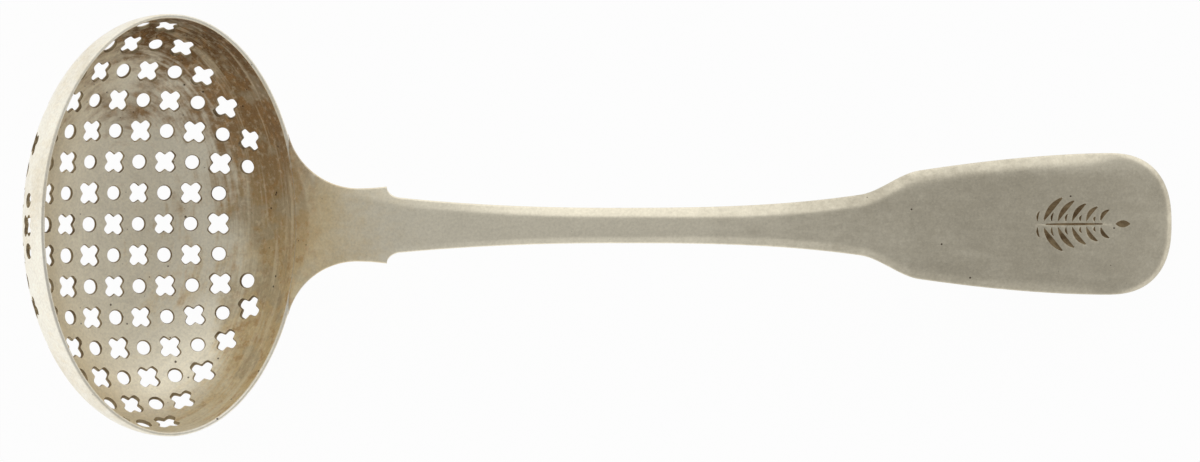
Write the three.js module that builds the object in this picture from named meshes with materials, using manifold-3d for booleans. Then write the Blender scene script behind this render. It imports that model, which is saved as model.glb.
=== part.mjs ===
// A small silver sifter ladle: a raised oval bowl, pierced with crosses and round holes, that is
// soldered to the heel of a forged handle with a fiddle-shaped end.
// Millimetres. It lies at rest on a table at z = 0, with +X running from the bowl to the handle's tip.
import * as THREE from "three";
import { mergeVertices } from "three/addons/utils/BufferGeometryUtils.js";
import Module from "manifold-3d";

const wasm = await Module();
wasm.setup();

// Bowl: its inside, its wall, and how far the rim leans down towards the handle at rest
const bowlLength = 36.2;
const bowlWidth = 52.6;
const bowlDepth = 13.8;
const bowlFullness = 2.77; // 2 is a plain ellipse, and more is flatter below and steeper at the rim
const bowlWall = 0.75;
const bowlLean = THREE.MathUtils.degToRad(30.5);

// Piercing: an octagonal field of crosses and round holes by turns, one place beyond the next
const pitchAlong = 3.63;
const pitchAcross = 4.03;
const fieldShift = 0.95; // the middle of the field stands this far from the bowl's middle, to the front
const roundHole = 1.8;
const crossSize = 3.0; // side of the square that the cross fills
const crossArm = 1.25;
const plainBand = 4.0; // least distance from the rim to the middle of a hole
const rimBand = 1.2; // least width of the strip below the rim that no place of the field reaches
const fieldRows = 7; // places from the middle row to the outer rows, each way
const fieldColumns = 5; // places from the middle of a row to its ends
const fieldCorner = 8; // places along plus places across, at the slanting sides of the field
const frontColumns = 6; // the middle rows run one place further at the front
const heelColumns = 4; // and stop short where the heel is soldered on
const shortRows = 1; // rows each side of the middle one that the heel shortens

// Solder joint
const solderThickness = 0.3;
const jointClearance = 0.15; // on each side of the solder

// Handle in plan: lengths follow each other from the rim to the tip, and the rest are full widths
const lipReach = 1.9;
const rootLength = 7.45;
const shoulderLength = 3.75;
const notchLength = 2.0;
const stemNearLength = 27.05;
const stemFarLength = 31.7;
const fiddleShoulderLength = 8.6;
const fiddleSideLength = 24.7;
const fiddleEndLength = 8.0;
const neckWidth = 9.4;
const flareRadius = 9.4;
const wingTurn = THREE.MathUtils.degToRad(72); // how far round the flare runs along the rim
const shoulderWidth = 9.9;
const stemRootWidth = 7.0;
const waistWidth = 4.53;
const fiddleRootWidth = 7.8;
const fiddleShoulderWidth = 14.1;
const fiddleWidth = 18.35;
const stemNearCurve = 2.15; // how late the stem widens towards the root
const stemFarCurve = 2.8; // and towards the fiddle
const fiddleSideCurve = 1.7;
const fiddleEndFullness = 2.45;
const shoulderSlope = 0.15; // slope of the outline where it enters and leaves the fiddle's shoulders

// Handle from the side
const crownHeight = 21.5; // top of the arch above the table
const crownReach = 36.0; // from the lip to the top of the arch
const riseAngle = THREE.MathUtils.degToRad(36);
const fallAngle = THREE.MathUtils.degToRad(27);
const coveAngle = THREE.MathUtils.degToRad(50); // from the rim's inner edge up to the lip
const wingSlope = 0.4; // the crest falls this much from the lip, as it runs out along the rim
const wingFall = 0.05; // and ever more with each millimetre
const rootThickness = 5;
const stemThickness = 2.9;
const fiddleThickness = 1.9;
const tipWear = 0.6; // ground off the back of the tip, where it rests on the table
const bevelWidth = 0.95;
const bevelDrop = 0.5;
const edgeHeight = 0.45; // upright edge below the bevel
const wingEdgeHeight = 1.8; // where the root spreads along the rim
const stemBackFullness = 2.2; // a rounded back
const fiddleBackFullness = 6; // an almost flat back

// Heel under the bowl
const heelWidth = 10.4;
const heelLength = 11.2; // along the bowl's outside, from the rim
const heelThickness = 2.3;
const heelTipThickness = 0.28;
const heelTipRoundness = 0.97; // 0 ends the heel square and 1 in a point

// Facets
const rimFacets = 56;
const roundHoleFacets = 8;
const seatFacetsAround = 72;
const seatFacetsDown = 16;
const meridianSteps = 240;
const acrossFacets = 8;
const backFacets = 6;
const heelRings = 8;
const wingSections = 9;
const endSections = 7; // of the fiddle's rounded end

const halfOuterLength = bowlLength / 2 + bowlWall;
const halfOuterWidth = bowlWidth / 2 + bowlWall;
const leanSin = Math.sin(bowlLean);
const leanCos = Math.cos(bowlLean);

// The rim's middle stands this high when the leaning bowl's round bottom touches the table.
const touchPower = bowlFullness / (bowlFullness - 1);
const rimHeight =
  ((halfOuterLength * leanSin) ** touchPower +
    ((bowlDepth + bowlWall) * leanCos) ** touchPower) **
  (1 / touchPower);

const bowlToTable = new THREE.Matrix4()
  .makeRotationY(bowlLean)
  .setPosition(0, 0, rimHeight);

// A closed mesh as a solid that can be joined and cut.
function solidOf(geometry) {
  geometry.deleteAttribute("normal");
  geometry.deleteAttribute("uv");
  const merged = mergeVertices(geometry, 1e-4);
  return new wasm.Manifold(
    new wasm.Mesh({
      numProp: 3,
      vertProperties: merged.attributes.position.array,
      triVerts: new Uint32Array(merged.index.array),
    }),
  );
}

function geometryOf(solid) {
  const mesh = solid.getMesh();
  const geometry = new THREE.BufferGeometry();
  geometry.setAttribute("position", new THREE.BufferAttribute(mesh.vertProperties, 3));
  geometry.setIndex(new THREE.BufferAttribute(mesh.triVerts, 1));
  geometry.computeVertexNormals();
  return geometry;
}

// Rings of equally many points, each joined to the next, with the first and last ones closed by a fan.
function skinOf(rings) {
  const around = rings[0].length;
  const points = rings.flat();
  const faces = [];
  for (let ring = 0; ring < rings.length - 1; ring++) {
    for (let side = 0; side < around; side++) {
      const next = (side + 1) % around;
      const here = ring * around;
      const there = here + around;
      faces.push(here + side, here + next, there + next);
      faces.push(here + side, there + next, there + side);
    }
  }
  const caps = [
    { ring: 0, turned: true },
    { ring: rings.length - 1, turned: false },
  ];
  for (const { ring, turned } of caps) {
    const middle = new THREE.Vector3();
    for (const point of rings[ring]) middle.addScaledVector(point, 1 / around);
    const tip = points.push(middle) - 1;
    for (let side = 0; side < around; side++) {
      const here = ring * around + side;
      const next = ring * around + ((side + 1) % around);
      faces.push(...(turned ? [tip, next, here] : [tip, here, next]));
    }
  }
  const geometry = new THREE.BufferGeometry().setFromPoints(points);
  geometry.setIndex(faces);
  return geometry;
}

// A point of the bowl's surface, from the bottom at share 0 to the rim at share 1. The inside has
// offset 0, and a larger offset is a larger bowl of the same kind.
function bowlPoint(direction, share, offset) {
  const halfLength = bowlLength / 2 + offset;
  const halfWidthAcross = bowlWidth / 2 + offset;
  const radius = 1 / Math.hypot(Math.cos(direction) / halfLength, Math.sin(direction) / halfWidthAcross);
  const turn = (share * Math.PI) / 2;
  const out = radius * Math.sin(turn) ** (2 / bowlFullness);
  const down = share < 1 ? (bowlDepth + offset) * Math.cos(turn) ** (2 / bowlFullness) : 0;
  return new THREE.Vector3(out * Math.cos(direction), out * Math.sin(direction), -down);
}

// The way square to that surface at one of its points, pointing out of the bowl.
function outwardAt(point, offset) {
  const along = point.x / (bowlLength / 2 + offset);
  const across = point.y / (bowlWidth / 2 + offset);
  const down = Math.max(0, -point.z / (bowlDepth + offset));
  const steep = Math.hypot(along, across) ** (bowlFullness - 2);
  return new THREE.Vector3(
    (steep * along) / (bowlLength / 2 + offset),
    (steep * across) / (bowlWidth / 2 + offset),
    -(down ** (bowlFullness - 1)) / (bowlDepth + offset),
  ).normalize();
}

function meridianLength(direction, offset) {
  let length = 0;
  for (let step = 0; step < meridianSteps; step++) {
    const here = bowlPoint(direction, step / meridianSteps, offset);
    length += here.distanceTo(bowlPoint(direction, (step + 1) / meridianSteps, offset));
  }
  return length;
}

// The point at a distance from the bottom, measured along the wall.
function alongMeridian(direction, distance, offset) {
  let here = bowlPoint(direction, 0, offset);
  let travelled = 0;
  for (let step = 1; step <= meridianSteps; step++) {
    const next = bowlPoint(direction, step / meridianSteps, offset);
    const stretch = next.distanceTo(here);
    if (travelled + stretch >= distance) return here.lerp(next, (distance - travelled) / stretch);
    travelled += stretch;
    here = next;
  }
  return here;
}

// The solid that the bowl's surface encloses, with its sides carried on a little above the rim.
function filledBowl(offset, rise) {
  const rings = [];
  for (let down = 1; down <= seatFacetsDown; down++) {
    const ring = [];
    for (let side = 0; side < seatFacetsAround; side++) {
      const direction = (side / seatFacetsAround) * 2 * Math.PI;
      ring.push(bowlPoint(direction, down / seatFacetsDown, offset));
    }
    rings.push(ring);
  }
  rings.push(rings[seatFacetsDown - 1].map((point) => point.clone().setZ(rise)));
  return skinOf(rings);
}

// The bowl is drawn as a flat pattern, with distances kept along each line out from the bottom, and
// every point of the pattern is then laid on the middle of the wall.
function isPierced(column, row) {
  const across = Math.abs(row);
  if (across > fieldRows || Math.abs(column) + across > fieldCorner) return false;
  if (across <= shortRows) return column >= -frontColumns && column <= heelColumns;
  return Math.abs(column) <= fieldColumns;
}

// Middle of a place of the field's grid, on the flat pattern.
function placeMiddle(column, row) {
  return new THREE.Vector2(column * pitchAlong - fieldShift, row * pitchAcross);
}

// How far the rim is from a point of the pattern.
function bandLeft(point) {
  return meridianLength(point.angle(), bowlWall / 2) - point.length();
}

function crossOutline() {
  const tip = crossSize / 2;
  const arm = crossArm / Math.SQRT2;
  const corner = [
    new THREE.Vector2(arm, 0),
    new THREE.Vector2(tip, tip - arm),
    new THREE.Vector2(tip - arm, tip),
  ];
  const outline = [];
  for (let quarter = 0; quarter < 4; quarter++) {
    const turn = (quarter * Math.PI) / 2;
    outline.push(...corner.map((point) => point.clone().rotateAround(new THREE.Vector2(), turn)));
  }
  return outline;
}

function roundOutline() {
  return Array.from({ length: roundHoleFacets }, (_, side) =>
    new THREE.Vector2(roundHole / 2, 0).rotateAround(
      new THREE.Vector2(),
      ((side + 0.5) / roundHoleFacets) * 2 * Math.PI,
    ),
  );
}

function makeBowl() {
  const pattern = [];
  const faces = [];
  const edges = [];

  function addPoint(point) {
    return pattern.push(point) - 1;
  }

  // Fills one place of the grid around its hole, if it has one.
  function fill(outer, holes) {
    const all = [outer, ...holes].flat();
    const outlines = [outer, ...holes].map((outline) => outline.map((index) => pattern[index]));
    for (const face of THREE.ShapeUtils.triangulateShape(outlines[0], outlines.slice(1))) {
      const [a, b, c] = face.map((index) => all[index]);
      const isCounterclockwise = THREE.ShapeUtils.area([pattern[a], pattern[b], pattern[c]]) > 0;
      faces.push(isCounterclockwise ? [a, b, c] : [a, c, b]);
    }
  }

  // Whole places of the grid, with a hole in each one that is pierced
  const corners = new Map();
  function cornerAt(column, row) {
    const name = `${column} ${row}`;
    if (!corners.has(name)) {
      corners.set(name, addPoint(placeMiddle(column - 0.5, row - 0.5)));
    }
    return corners.get(name);
  }
  const border = new Map();
  const reach = Math.ceil(bowlWidth / Math.min(pitchAlong, pitchAcross));
  for (let row = -reach; row <= reach; row++) {
    for (let column = -reach; column <= reach; column++) {
      const cornerPlaces = [
        [column, row],
        [column + 1, row],
        [column + 1, row + 1],
        [column, row + 1],
      ];
      const isWhole = cornerPlaces.every(
        ([x, y]) => bandLeft(placeMiddle(x - 0.5, y - 0.5)) >= rimBand,
      );
      if (!isWhole) continue;
      const around = cornerPlaces.map(([x, y]) => cornerAt(x, y));
      const middle = placeMiddle(column, row);
      const holes = [];
      if (isPierced(column, row) && bandLeft(middle) >= plainBand) {
        const outline = (column + row) % 2 === 0 ? crossOutline() : roundOutline();
        holes.push(outline.map((point) => addPoint(point.add(middle))));
        edges.push(holes[0].toReversed());
      }
      fill(around, holes);
      around.forEach((from, side) => {
        const to = around[(side + 1) % around.length];
        if (!border.delete(`${to} ${from}`)) border.set(`${from} ${to}`, [from, to]);
      });
    }
  }

  // The stepped outline of those places
  const onward = new Map(border.values());
  const stepped = [onward.keys().next().value];
  while (onward.get(stepped.at(-1)) !== stepped[0]) stepped.push(onward.get(stepped.at(-1)));
  const turnOf = (index) => pattern[index].angle();
  const lowest = Math.min(...stepped.map(turnOf));
  while (turnOf(stepped[0]) > lowest) stepped.push(stepped.shift());

  // The plain band from there to the rim, filled point by point around
  const rim = Array.from({ length: rimFacets }, (_, side) => {
    const direction = (side / rimFacets) * 2 * Math.PI;
    const length = meridianLength(direction, bowlWall / 2);
    return addPoint(new THREE.Vector2(length, 0).rotateAround(new THREE.Vector2(), direction));
  });
  edges.push(rim);
  const turnAt = (loop, place) =>
    turnOf(loop[place % loop.length]) + (place >= loop.length ? 2 * Math.PI : 0);
  let onRim = 0;
  let onStep = 0;
  while (onRim < rim.length || onStep < stepped.length) {
    const rimHere = rim[onRim % rim.length];
    const stepHere = stepped[onStep % stepped.length];
    const isRimNext = turnAt(rim, onRim + 1) <= turnAt(stepped, onStep + 1);
    if (onStep === stepped.length || (onRim < rim.length && isRimNext)) {
      onRim++;
      faces.push([stepHere, rimHere, rim[onRim % rim.length]]);
    } else {
      onStep++;
      faces.push([stepHere, rimHere, stepped[onStep % stepped.length]]);
    }
  }

  // The pattern laid on the inside and the outside of the wall
  const points = [];
  for (const side of [-1, 1]) {
    for (const flat of pattern) {
      const middle = alongMeridian(flat.angle(), flat.length(), bowlWall / 2);
      const outward = outwardAt(middle, bowlWall / 2);
      points.push(middle.addScaledVector(outward, (side * bowlWall) / 2));
    }
  }
  const outside = pattern.length;
  const skin = faces.flatMap(([a, b, c]) => [a, b, c, outside + a, outside + c, outside + b]);
  for (const edge of edges) {
    edge.forEach((from, side) => {
      const to = edge[(side + 1) % edge.length];
      skin.push(from, outside + from, outside + to, from, outside + to, to);
    });
  }
  const geometry = new THREE.BufferGeometry().setFromPoints(points);
  geometry.setIndex(skin);
  geometry.computeVertexNormals();
  return geometry;
}

// Places along the handle, from the middle of the rim
const rimPlace = halfOuterLength * leanCos;
const lipPlace = rimPlace + lipReach;
const neckPlace = rimPlace + rootLength;
const shoulderPlace = neckPlace + shoulderLength;
const stemPlace = shoulderPlace + notchLength;
const waistPlace = stemPlace + stemNearLength;
const fiddlePlace = waistPlace + stemFarLength;
const fiddleSidePlace = fiddlePlace + fiddleShoulderLength;
const fiddleEndPlace = fiddleSidePlace + fiddleSideLength;
const tipPlace = fiddleEndPlace + fiddleEndLength;
const crownPlace = lipPlace + crownReach;

function hermite(share, length, from, fromSlope, to, toSlope) {
  const square = share * share;
  const cube = square * share;
  const value = from * (2 * cube - 3 * square + 1) + to * (3 * square - 2 * cube);
  return value + length * (fromSlope * (cube - 2 * square + share) + toSlope * (cube - square));
}

// Half the handle's width at a place, seen from above.
function halfWidth(place) {
  if (place < neckPlace) {
    const back = Math.min(neckPlace - place, flareRadius);
    return neckWidth / 2 + flareRadius - Math.sqrt(flareRadius ** 2 - back ** 2);
  }
  if (place < shoulderPlace) {
    const share = (place - neckPlace) / shoulderLength;
    return THREE.MathUtils.lerp(neckWidth, shoulderWidth, share ** 2) / 2;
  }
  if (place < stemPlace) {
    const share = 1 - (place - shoulderPlace) / notchLength;
    const cove = Math.sqrt(1 - share * share);
    return THREE.MathUtils.lerp(shoulderWidth, stemRootWidth, cove) / 2;
  }
  if (place < waistPlace) {
    const share = ((waistPlace - place) / stemNearLength) ** stemNearCurve;
    return THREE.MathUtils.lerp(waistWidth, stemRootWidth, share) / 2;
  }
  if (place < fiddlePlace) {
    const share = ((place - waistPlace) / stemFarLength) ** stemFarCurve;
    return THREE.MathUtils.lerp(waistWidth, fiddleRootWidth, share) / 2;
  }
  if (place < fiddleSidePlace) {
    const share = (place - fiddlePlace) / fiddleShoulderLength;
    return hermite(
      share,
      fiddleShoulderLength,
      fiddleRootWidth / 2,
      shoulderSlope,
      fiddleShoulderWidth / 2,
      shoulderSlope,
    );
  }
  if (place < fiddleEndPlace) {
    const share = ((fiddleEndPlace - place) / fiddleSideLength) ** fiddleSideCurve;
    return THREE.MathUtils.lerp(fiddleWidth, fiddleShoulderWidth, share) / 2;
  }
  const share = (place - fiddleEndPlace) / fiddleEndLength;
  return (fiddleWidth / 2) * (1 - share ** fiddleEndFullness) ** (1 / fiddleEndFullness);
}

// The cove carries the inside of the bowl on, from the rim's inner edge up to the lip.
function coveHeight(place, aside) {
  const rim = (bowlLength / 2) * Math.sqrt(Math.max(0, 1 - (aside / (bowlWidth / 2)) ** 2));
  return rimHeight - rim * leanSin + (place - rim * leanCos) * Math.tan(coveAngle);
}

const lipHeight = coveHeight(lipPlace, 0);

// Height of the handle's front face along its middle line.
function faceHeight(place) {
  if (place < lipPlace) {
    const back = lipPlace - place;
    return lipHeight - back * (wingSlope + wingFall * back);
  }
  if (place < crownPlace) {
    const share = (place - lipPlace) / crownReach;
    return hermite(share, crownReach, lipHeight, Math.tan(riseAngle), crownHeight, 0);
  }
  const length = tipPlace - crownPlace;
  const tipHeight = fiddleThickness - tipWear;
  const share = (place - crownPlace) / length;
  return hermite(share, length, crownHeight, 0, tipHeight, -Math.tan(fallAngle));
}

function thickness(place) {
  const root = THREE.MathUtils.smoothstep(place, lipPlace, stemPlace);
  const fiddle = THREE.MathUtils.smoothstep(place, fiddlePlace - fiddleShoulderLength, fiddleSidePlace);
  const stem = THREE.MathUtils.lerp(rootThickness, stemThickness, root);
  return THREE.MathUtils.lerp(stem, fiddleThickness, fiddle);
}

// One section of the handle: the flat front, its bevels, upright edges and the back.
function handleSection(place) {
  const half = halfWidth(place);
  const bevel = Math.min(bevelWidth, half / 3);
  const drop = bevelDrop * (bevel / bevelWidth);
  const face = faceHeight(place);
  const deep = thickness(place);
  const root = 1 - THREE.MathUtils.smoothstep(place, lipPlace, neckPlace);
  const edge = drop + THREE.MathUtils.lerp(edgeHeight, wingEdgeHeight, root);
  const fiddle = THREE.MathUtils.smoothstep(place, fiddlePlace - fiddleShoulderLength, fiddleSidePlace);
  const fullness = THREE.MathUtils.lerp(stemBackFullness, fiddleBackFullness, fiddle);
  const ring = [new THREE.Vector3(place, half, face - drop)];
  for (let step = 0; step <= acrossFacets; step++) {
    const aside = (half - bevel) * (1 - (2 * step) / acrossFacets);
    ring.push(new THREE.Vector3(place, aside, face));
  }
  ring.push(new THREE.Vector3(place, -half, face - drop));
  for (let step = 0; step <= backFacets; step++) {
    const turn = (step / backFacets) * Math.PI;
    const aside = -Math.sign(Math.cos(turn)) * half * Math.abs(Math.cos(turn)) ** (2 / fullness);
    const down = edge + (deep - edge) * Math.sin(turn) ** (2 / fullness);
    ring.push(new THREE.Vector3(place, aside, face - down));
  }
  for (const point of ring) {
    const isFront = point.z > face - drop - edgeHeight / 2;
    const cove = coveHeight(place, point.y);
    point.z = Math.max(0, Math.min(point.z, isFront ? cove : cove - edgeHeight / 2));
  }
  return ring;
}

// Sections from the wings of the root, which lie over the rim and are cut to it later, to the tip.
function handleBody() {
  const stretches = [
    { from: neckPlace, to: shoulderPlace, sections: 3 },
    { from: shoulderPlace, to: stemPlace, sections: 3 },
    { from: stemPlace, to: waistPlace, sections: 9 },
    { from: waistPlace, to: fiddlePlace, sections: 8 },
    { from: fiddlePlace, to: fiddleSidePlace, sections: 6 },
    { from: fiddleSidePlace, to: fiddleEndPlace, sections: 5 },
  ];
  const places = [];
  for (let section = 0; section < wingSections; section++) {
    places.push(neckPlace - flareRadius * Math.sin(wingTurn * (1 - section / wingSections)));
  }
  for (const { from, to, sections } of stretches) {
    for (let section = 0; section < sections; section++) {
      places.push(THREE.MathUtils.lerp(from, to, section / sections));
    }
  }
  for (let section = 0; section < endSections; section++) {
    const turn = ((section / endSections) * Math.PI) / 2;
    places.push(fiddleEndPlace + fiddleEndLength * Math.sin(turn));
  }
  return solidOf(skinOf(places.map(handleSection)));
}

// The heel follows the bowl's outside from the rim to its rounded tip, growing thinner.
function heelBody() {
  const wallLength = meridianLength(0, bowlWall);
  const rings = [];
  for (let ring = 0; ring <= heelRings; ring++) {
    const share = ring / heelRings;
    const middle = alongMeridian(0, wallLength - heelLength * share, bowlWall);
    const outward = outwardAt(middle, bowlWall);
    const half = (heelWidth / 2) * Math.sqrt(Math.max(0, 1 - heelTipRoundness * share ** 3));
    const deep = THREE.MathUtils.lerp(heelThickness, heelTipThickness, share);
    const section = [new THREE.Vector2(-half, -bowlWall), new THREE.Vector2(half, -bowlWall)];
    for (let step = 0; step <= backFacets; step++) {
      const turn = (step / backFacets) * Math.PI;
      section.push(new THREE.Vector2(half * Math.cos(turn), deep * Math.sin(turn)));
    }
    rings.push(
      section.map((point) =>
        middle.clone().addScaledVector(outward, point.y).setY(point.x).applyMatrix4(bowlToTable),
      ),
    );
  }
  return solidOf(skinOf(rings));
}

// Everything inside the bowl's outer face and below its rim, grown by an offset.
function seat(offset) {
  return solidOf(filledBowl(bowlWall + offset, offset).applyMatrix4(bowlToTable));
}

const silver = { color: 0xb4ad9a, metalness: 1, roughness: 0.34 };
const ladle = new THREE.Group();

const bowl = new THREE.Mesh(makeBowl(), new THREE.MeshStandardMaterial(silver));
bowl.name = "bowl";
bowl.rotation.y = bowlLean;
bowl.position.z = rimHeight;

const forging = handleBody().add(heelBody());
const solderSeat = seat(jointClearance);
const handleSeat = seat(2 * jointClearance + solderThickness);
const solderOuter = seat(jointClearance + solderThickness);

const handle = new THREE.Mesh(
  geometryOf(forging.subtract(handleSeat)),
  new THREE.MeshStandardMaterial(silver),
);
handle.name = "handle";

const seam = new THREE.Mesh(
  geometryOf(forging.intersect(solderOuter).subtract(solderSeat)),
  new THREE.MeshStandardMaterial({ color: 0xa39b86, metalness: 1, roughness: 0.42 }),
);
seam.name = "solder_seam";

ladle.add(bowl, handle, seam);

// The origin is on the table, below the middle of the ladle.
const around = new THREE.Box3().setFromObject(ladle, true);
const middle = around.getCenter(new THREE.Vector3());
ladle.children.forEach((mesh) => mesh.position.sub(new THREE.Vector3(middle.x, middle.y, 0)));

export default ladle;
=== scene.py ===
from math import cos, hypot, pi, radians, sin, sqrt, tan

import bpy
import numpy as np
from mathutils import Matrix, Vector


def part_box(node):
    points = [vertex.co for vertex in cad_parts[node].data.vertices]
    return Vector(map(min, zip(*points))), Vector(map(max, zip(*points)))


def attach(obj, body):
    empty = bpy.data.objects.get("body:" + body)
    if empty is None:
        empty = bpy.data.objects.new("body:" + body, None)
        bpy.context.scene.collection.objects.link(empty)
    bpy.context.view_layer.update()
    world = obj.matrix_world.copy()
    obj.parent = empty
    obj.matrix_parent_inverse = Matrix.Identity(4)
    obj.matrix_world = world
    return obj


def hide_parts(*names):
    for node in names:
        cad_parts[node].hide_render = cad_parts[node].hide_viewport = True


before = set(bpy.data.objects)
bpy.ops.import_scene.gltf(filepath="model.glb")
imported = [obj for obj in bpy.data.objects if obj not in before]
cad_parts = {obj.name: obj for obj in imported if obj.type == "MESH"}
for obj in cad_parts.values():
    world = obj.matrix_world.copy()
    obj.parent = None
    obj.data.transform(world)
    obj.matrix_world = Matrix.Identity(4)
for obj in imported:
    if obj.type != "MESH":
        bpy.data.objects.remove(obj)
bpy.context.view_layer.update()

# The bowl is raised from one sheet of silver into a deep oval with full, rounded-square sides, and
# its rim is filed and rubbed round. It lies leaning, so that the rim dips towards the handle.
mm = 0.001
bowl_length = 36.2 * mm  # inside, at the rim
bowl_width = 52.6 * mm
bowl_depth = 13.8 * mm
bowl_fullness = 2.77  # 2 is a plain ellipse, and more is flatter below and steeper at the rim
bowl_wall = 0.75 * mm
bowl_lean = radians(30.5)
thinning = 0.3 * mm  # raising has drawn the wall this much thinner on the inside, below the rim
thick_band = (0.6 * mm, 3.2 * mm)  # down from the rim, where the wall passes from thick to thin
rim_thinning = 0.2 * mm  # filed off the inner edge of the free rim
rim_rounding = 0.26 * mm
joint_half = 11.0 * mm  # over this half width the handle meets the rim, which stays thick there
joint_fade = 1.5  # and at this many times it the rim is free
joint_rounding = 0.02  # share of the rounding that is left at the joint
rim_arc_steps = 5
shell_squares = 112  # facets across the shell each way
meridian_steps = 320

half_wall = bowl_wall / 2
outer_length = bowl_length / 2 + bowl_wall
touch_power = bowl_fullness / (bowl_fullness - 1)
lean_cos, lean_sin = cos(bowl_lean), sin(bowl_lean)


def reach_of_tilted_bowl(along, down):
    """How far the bowl's outside reaches in a direction given in the bowl's own upright frame."""
    along, down = outer_length * along, (bowl_depth + bowl_wall) * down
    return (along**touch_power + down**touch_power) ** (1 / touch_power)


rim_height = reach_of_tilted_bowl(lean_sin, lean_cos)
rim_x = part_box("bowl")[0].x + reach_of_tilted_bowl(lean_cos, lean_sin)
rim_middle = np.array([rim_x, 0, rim_height])


def leaned(points):
    """Points of the upright bowl, whose rim lies at z = 0, where they are as the ladle lies."""
    x, y, z = np.moveaxis(np.asarray(points, float), -1, 0)
    turned = np.stack([x * lean_cos + z * lean_sin, y, z * lean_cos - x * lean_sin], -1)
    return turned + rim_middle


def rim_radius(direction, offset):
    """From the middle of the bowl's oval to its edge, an offset outside the inner rim."""
    along = np.cos(direction) / (bowl_length / 2 + offset)
    across = np.sin(direction) / (bowl_width / 2 + offset)
    return 1 / np.hypot(along, across)


def meridian(direction, offset):
    """Lines from the bottom of the bowl up to its rim: distance out and distance down."""
    turn = np.linspace(0, pi / 2, meridian_steps + 1)
    out = rim_radius(direction, offset)[:, None] * np.sin(turn) ** (2 / bowl_fullness)
    down = (bowl_depth + offset) * np.abs(np.cos(turn)) ** (2 / bowl_fullness)
    down[-1] = 0
    return out, np.broadcast_to(down, out.shape)


def wall_length(direction, offset):
    """From the bottom of the bowl to its rim, measured along the wall."""
    out, down = meridian(direction, offset)
    return np.hypot(np.diff(out), np.diff(down)).sum(1)


def points_round(direction, out, height):
    return np.stack([out * np.cos(direction), out * np.sin(direction), height], 1)


def lay_on_wall(direction, distance, offset):
    """Points at a distance from the bottom, measured along the wall in a direction."""
    out, down = meridian(direction, offset)
    travelled = np.zeros(out.shape)
    travelled[:, 1:] = np.cumsum(np.hypot(np.diff(out), np.diff(down)), 1)
    step = np.clip((travelled < distance[:, None]).sum(1), 1, meridian_steps)
    row = np.arange(len(step))
    here, there = (row, step - 1), (row, step)
    share = (distance - travelled[here]) / (travelled[there] - travelled[here])
    out, down = (line[here] + (line[there] - line[here]) * share for line in (out, down))
    return points_round(direction, out, -down)


def unit(ways):
    return ways / np.linalg.norm(ways, axis=1)[:, None]


def outward_of_wall(points, offset):
    """The way square to the wall, pointing out of the bowl."""
    half = np.array([bowl_length / 2 + offset, bowl_width / 2 + offset, bowl_depth + offset])
    scaled = points / half
    steep = np.maximum(np.hypot(scaled[:, 0], scaled[:, 1]), 1e-9) ** (bowl_fullness - 2)
    down = np.maximum(-scaled[:, 2], 0) ** (bowl_fullness - 1)
    return unit(np.stack([steep * scaled[:, 0], steep * scaled[:, 1], -down], 1) / half)


def set_out(name, data):
    """An object for a mesh or the camera, at the origin."""
    made = bpy.data.objects.new(name, data)
    bpy.context.scene.collection.objects.link(made)
    return made


def mesh_object(name, points, faces):
    mesh = bpy.data.meshes.new(name)
    mesh.from_pydata([tuple(p) for p in points], [], faces)
    mesh.validate()
    return set_out(name, mesh)


def soft_step(value, low, high):
    """From 0 up to the low value to 1 from the high value on."""
    share = np.clip((value - low) / (high - low), 0, 1)
    return share * share * (3 - 2 * share)


def free_rim(direction):
    """1 where the rim is free, falling to 0 where the handle meets it."""
    aside = np.abs(np.sin(direction)) * bowl_width / 2
    free = soft_step(aside, joint_half, joint_fade * joint_half)
    return np.where(np.cos(direction) > 0, free, 1)


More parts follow.
